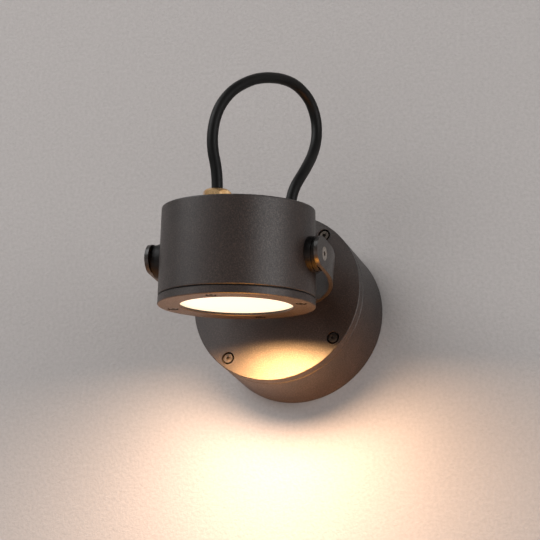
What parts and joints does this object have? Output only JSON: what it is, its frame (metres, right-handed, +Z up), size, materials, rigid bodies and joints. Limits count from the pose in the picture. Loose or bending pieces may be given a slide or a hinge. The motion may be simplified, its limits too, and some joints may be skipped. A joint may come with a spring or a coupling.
{
  "type": "pivoting spotlight wall light",
  "caption": "Round wall drum with a swivelling bent strap that carries a tilting cylindrical spot head, fed by a looped rubber flex between two brass glands.",
  "frame": {"origin": "centre of the drum's back, on the wall", "axes": "+Y into the wall, +Z up, +X to the right for someone who faces the wall"},
  "size_m": [0.1164, 0.1763, 0.2027],
  "materials": {
    "coated_casting": "matte",
    "coated_steel": "matte",
    "stainless_steel": "satin",
    "brass": "satin",
    "black_rubber": "matte",
    "opal_glass": "matte",
    "black_nylon": "satin",
    "pale_plastic": "satin",
    "bare_aluminium": "satin",
    "led_phosphor": "satin"
  },
  "bodies": {
    "base": {"base_housing": "coated_casting", "wall_gasket": "black_rubber", "cover_gasket": "black_rubber", "front_cover": "coated_casting", "cover_screws": "stainless_steel", "mains_grommet": "black_rubber", "terminal_block": "pale_plastic", "terminal_clamps": "brass", "terminal_screw": "stainless_steel", "led_driver": "pale_plastic", "driver_screws": "stainless_steel", "earth_washer": "stainless_steel", "earth_screw": "brass", "cover_gland_body": "brass", "cover_gland_nut": "brass", "cover_gland_seal": "black_rubber", "cover_gland_locknut": "brass", "flex_tail_base": "black_rubber", "flex_lower": "black_rubber"},
    "yoke": {"yoke_strap": "coated_steel", "swivel_liner": "black_nylon", "swivel_washer": "stainless_steel", "swivel_inner_washer": "stainless_steel", "swivel_bolt": "stainless_steel", "swivel_nut": "stainless_steel", "flex_upper": "black_rubber"},
    "head": {"head_housing": "coated_casting", "head_gasket": "black_rubber", "front_ring": "coated_casting", "ring_screws": "stainless_steel", "lens_gasket": "black_rubber", "glass_lens": "opal_glass", "reflector": "bare_aluminium", "heat_spreader": "bare_aluminium", "spreader_screws": "stainless_steel", "led_board": "bare_aluminium", "led_chip": "led_phosphor", "pivot_washers": "black_nylon", "pivot_screws": "stainless_steel", "head_gland_body": "brass", "head_gland_nut": "brass", "head_gland_seal": "black_rubber", "head_gland_locknut": "brass", "flex_tail_head": "black_rubber"}
  },
  "joints": [
    {"name": "yoke_swivel", "type": "hinge", "parent": "base", "child": "yoke", "pos_m": [0, -0.0515, 0], "axis": [0, 1, 0], "range_deg": [-35, 35], "deforming": ["flex_lower"]},
    {"name": "head_tilt", "type": "hinge", "parent": "yoke", "child": "head", "pos_m": [0, -0.12288, 0], "axis": [1, 0, 0], "range_deg": [-90, 20], "deforming": ["flex_upper"]}
  ]
}
